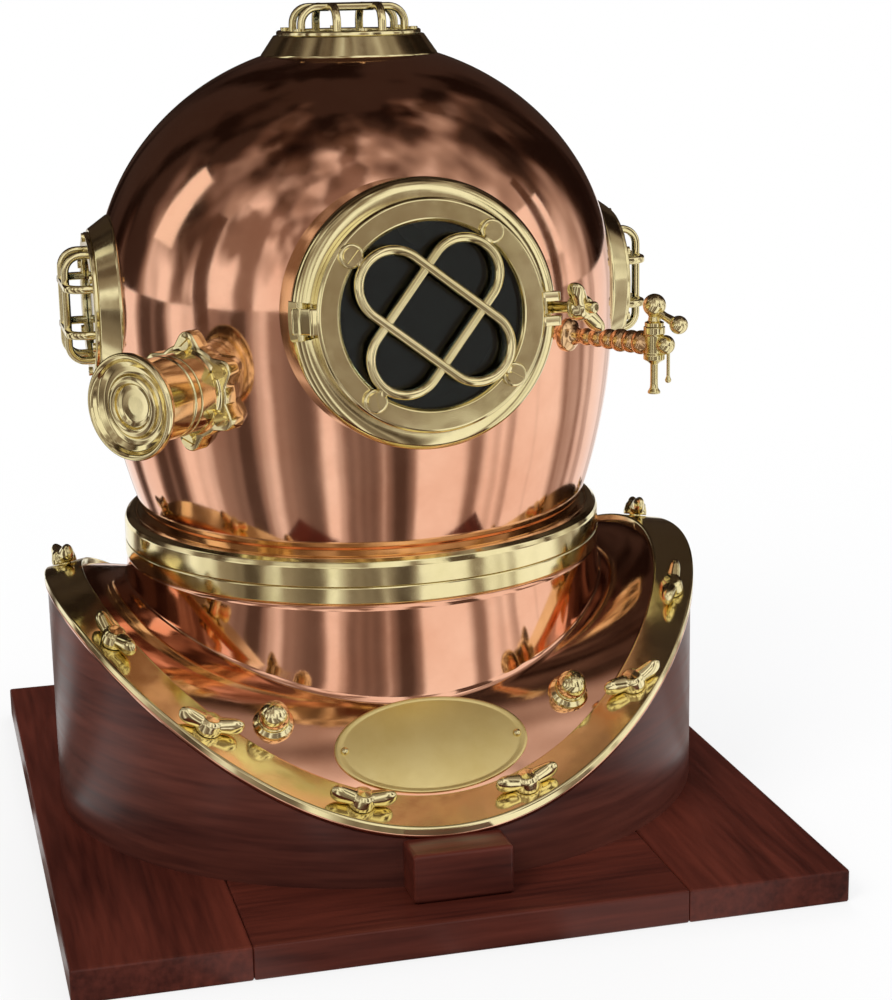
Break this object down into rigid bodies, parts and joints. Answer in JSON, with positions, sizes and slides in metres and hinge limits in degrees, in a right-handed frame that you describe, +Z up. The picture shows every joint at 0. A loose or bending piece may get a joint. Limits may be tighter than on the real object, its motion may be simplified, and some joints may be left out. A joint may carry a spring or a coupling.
{
  "type": "diving helmet",
  "caption": "Copper diving helmet with brass rings, hinged front door, guarded side and top ports, exhaust valve, spitcock and winged clamping nuts, on a dark wooden display stand.",
  "frame": {"origin": "middle of the underside of the stand's board", "axes": "+Z up, -Y the way the front window faces, +X to the right of the picture"},
  "size_m": [0.4, 0.43, 0.4565],
  "materials": {
    "copper_sheet": "polished",
    "brass_fittings": "polished",
    "stand_wood": "gloss varnish",
    "window_glass": "clear",
    "gasket_leather": "satin",
    "door_rubber": "matte"
  },
  "bodies": {
    "stand": {"centre_board": "stand_wood", "end_boards": "stand_wood", "drum": "stand_wood", "front_block": "stand_wood"},
    "breastplate": {"corselet_shell": "copper_sheet", "corselet_ring": "brass_fittings", "neck_gasket": "gasket_leather", "front_strap": "brass_fittings", "back_strap": "brass_fittings", "rim_studs": "brass_fittings", "name_plate": "brass_fittings", "plate_rivets": "brass_fittings", "ball_studs": "brass_fittings"},
    "bonnet": {"bonnet_shell": "copper_sheet", "bonnet_ring": "brass_fittings", "front_port_seat": "brass_fittings", "hinge_pin": "brass_fittings", "latch_pivot_pin": "brass_fittings", "left_port_flange": "brass_fittings", "left_port_glass": "window_glass", "left_port_guard": "brass_fittings", "right_port_flange": "brass_fittings", "right_port_glass": "window_glass", "right_port_guard": "brass_fittings", "top_port_flange": "brass_fittings", "top_port_glass": "window_glass", "top_port_guard": "brass_fittings", "port_screws": "brass_fittings", "exhaust_body": "brass_fittings", "exhaust_screws": "brass_fittings", "spitcock_body": "brass_fittings", "air_elbow": "brass_fittings", "phone_elbow": "brass_fittings", "elbow_caps": "brass_fittings"},
    "front_door": {"door_ring": "brass_fittings", "door_glass": "window_glass", "glass_retainer": "brass_fittings", "door_gasket": "door_rubber", "door_guard": "brass_fittings", "guard_screws": "brass_fittings"},
    "latch_bolt": {"swing_bolt": "brass_fittings", "latch_washer": "brass_fittings"},
    "latch_nut": {"latch_wing_nut": "brass_fittings"},
    "exhaust_knob": {"exhaust_knob": "brass_fittings"},
    "exhaust_stem": {"exhaust_stem": "brass_fittings"},
    "spitcock_plug": {"spitcock_plug": "brass_fittings"},
    "wing_nut_right_1": {"wing_nut_right_1": "brass_fittings"},
    "wing_nut_right_2": {"wing_nut_right_2": "brass_fittings"},
    "wing_nut_right_3": {"wing_nut_right_3": "brass_fittings"},
    "wing_nut_right_4": {"wing_nut_right_4": "brass_fittings"},
    "wing_nut_right_5": {"wing_nut_right_5": "brass_fittings"},
    "wing_nut_right_6": {"wing_nut_right_6": "brass_fittings"},
    "wing_nut_left_1": {"wing_nut_left_1": "brass_fittings"},
    "wing_nut_left_2": {"wing_nut_left_2": "brass_fittings"},
    "wing_nut_left_3": {"wing_nut_left_3": "brass_fittings"},
    "wing_nut_left_4": {"wing_nut_left_4": "brass_fittings"},
    "wing_nut_left_5": {"wing_nut_left_5": "brass_fittings"},
    "wing_nut_left_6": {"wing_nut_left_6": "brass_fittings"}
  },
  "joints": [
    {"name": "helmet_lift", "type": "slide", "parent": "stand", "child": "breastplate", "axis": [0, 0, 1], "range_m": [0, 0.06]},
    {"name": "bonnet_turn", "type": "hinge", "parent": "breastplate", "child": "bonnet", "pos_m": [0, 0.028, 0.1605], "axis": [0, 0, 1], "range_deg": [0, 45]},
    {"name": "door_hinge", "type": "hinge", "parent": "bonnet", "child": "front_door", "pos_m": [-0.0625, -0.13406, 0.30716], "axis": [0, -0.0958, -0.9954], "range_deg": [0, 110]},
    {"name": "latch_swing", "type": "hinge", "parent": "bonnet", "child": "latch_bolt", "pos_m": [0.062, -0.13207, 0.30697], "axis": [0, 0.0958, 0.9954], "range_deg": [-36, 55]},
    {"name": "latch_nut_spin", "type": "hinge", "parent": "latch_bolt", "child": "latch_nut", "pos_m": [0.062, -0.13207, 0.30697], "axis": [0.5878, -0.8053, 0.0775], "range_deg": [-230.4, 921.6]},
    {"name": "exhaust_knob_turn", "type": "hinge", "parent": "bonnet", "child": "exhaust_knob", "pos_m": [-0.10753, -0.06882, 0.264], "axis": [-0.7431, -0.6691, 0], "range_deg": [-180, 180]},
    {"name": "exhaust_stem_push", "type": "slide", "parent": "bonnet", "child": "exhaust_stem", "axis": [-0.7431, -0.6691, 0], "range_m": [0, 0.003], "stiffness_N_per_m": 400, "springref_m": -0.005},
    {"name": "spitcock_turn", "type": "hinge", "parent": "bonnet", "child": "spitcock_plug", "pos_m": [0.12269, -0.12904, 0.284], "axis": [0, 0, 1], "range_deg": [0, 90]},
    {"name": "wing_nut_right_1_turn", "type": "hinge", "parent": "breastplate", "child": "wing_nut_right_1", "pos_m": [0.0443, -0.15499, 0.06025], "axis": [-0.1416, -0.4125, 0.8999], "continuous": true},
    {"name": "wing_nut_right_2_turn", "type": "hinge", "parent": "breastplate", "child": "wing_nut_right_2", "pos_m": [0.11574, -0.11805, 0.09579], "axis": [-0.2562, -0.4319, 0.8647], "continuous": true},
    {"name": "wing_nut_right_3_turn", "type": "hinge", "parent": "breastplate", "child": "wing_nut_right_3", "pos_m": [0.15664, -0.06643, 0.13088], "axis": [-0.1758, -0.3756, 0.91], "continuous": true},
    {"name": "wing_nut_right_4_turn", "type": "hinge", "parent": "breastplate", "child": "wing_nut_right_4", "pos_m": [0.17188, 0.03759, 0.1484], "axis": [0.1478, 0.2004, 0.9685], "continuous": true},
    {"name": "wing_nut_right_5_turn", "type": "hinge", "parent": "breastplate", "child": "wing_nut_right_5", "pos_m": [0.13043, 0.11901, 0.1109], "axis": [0.1013, 0.6591, 0.7452], "continuous": true},
    {"name": "wing_nut_right_6_turn", "type": "hinge", "parent": "breastplate", "child": "wing_nut_right_6", "pos_m": [0.05249, 0.16598, 0.06444], "axis": [-0.1352, 0.59, 0.796], "continuous": true},
    {"name": "wing_nut_left_1_turn", "type": "hinge", "parent": "breastplate", "child": "wing_nut_left_1", "pos_m": [-0.0443, -0.15499, 0.06025], "axis": [0.1416, -0.4125, 0.8999], "continuous": true},
    {"name": "wing_nut_left_2_turn", "type": "hinge", "parent": "breastplate", "child": "wing_nut_left_2", "pos_m": [-0.11574, -0.11805, 0.09579], "axis": [0.2562, -0.4319, 0.8647], "continuous": true},
    {"name": "wing_nut_left_3_turn", "type": "hinge", "parent": "breastplate", "child": "wing_nut_left_3", "pos_m": [-0.15664, -0.06643, 0.13088], "axis": [0.1758, -0.3756, 0.91], "continuous": true},
    {"name": "wing_nut_left_4_turn", "type": "hinge", "parent": "breastplate", "child": "wing_nut_left_4", "pos_m": [-0.17188, 0.03759, 0.1484], "axis": [-0.1478, 0.2004, 0.9685], "continuous": true},
    {"name": "wing_nut_left_5_turn", "type": "hinge", "parent": "breastplate", "child": "wing_nut_left_5", "pos_m": [-0.13043, 0.11901, 0.1109], "axis": [-0.1013, 0.6591, 0.7452], "continuous": true},
    {"name": "wing_nut_left_6_turn", "type": "hinge", "parent": "breastplate", "child": "wing_nut_left_6", "pos_m": [-0.05249, 0.16598, 0.06444], "axis": [0.1352, 0.59, 0.796], "continuous": true}
  ]
}
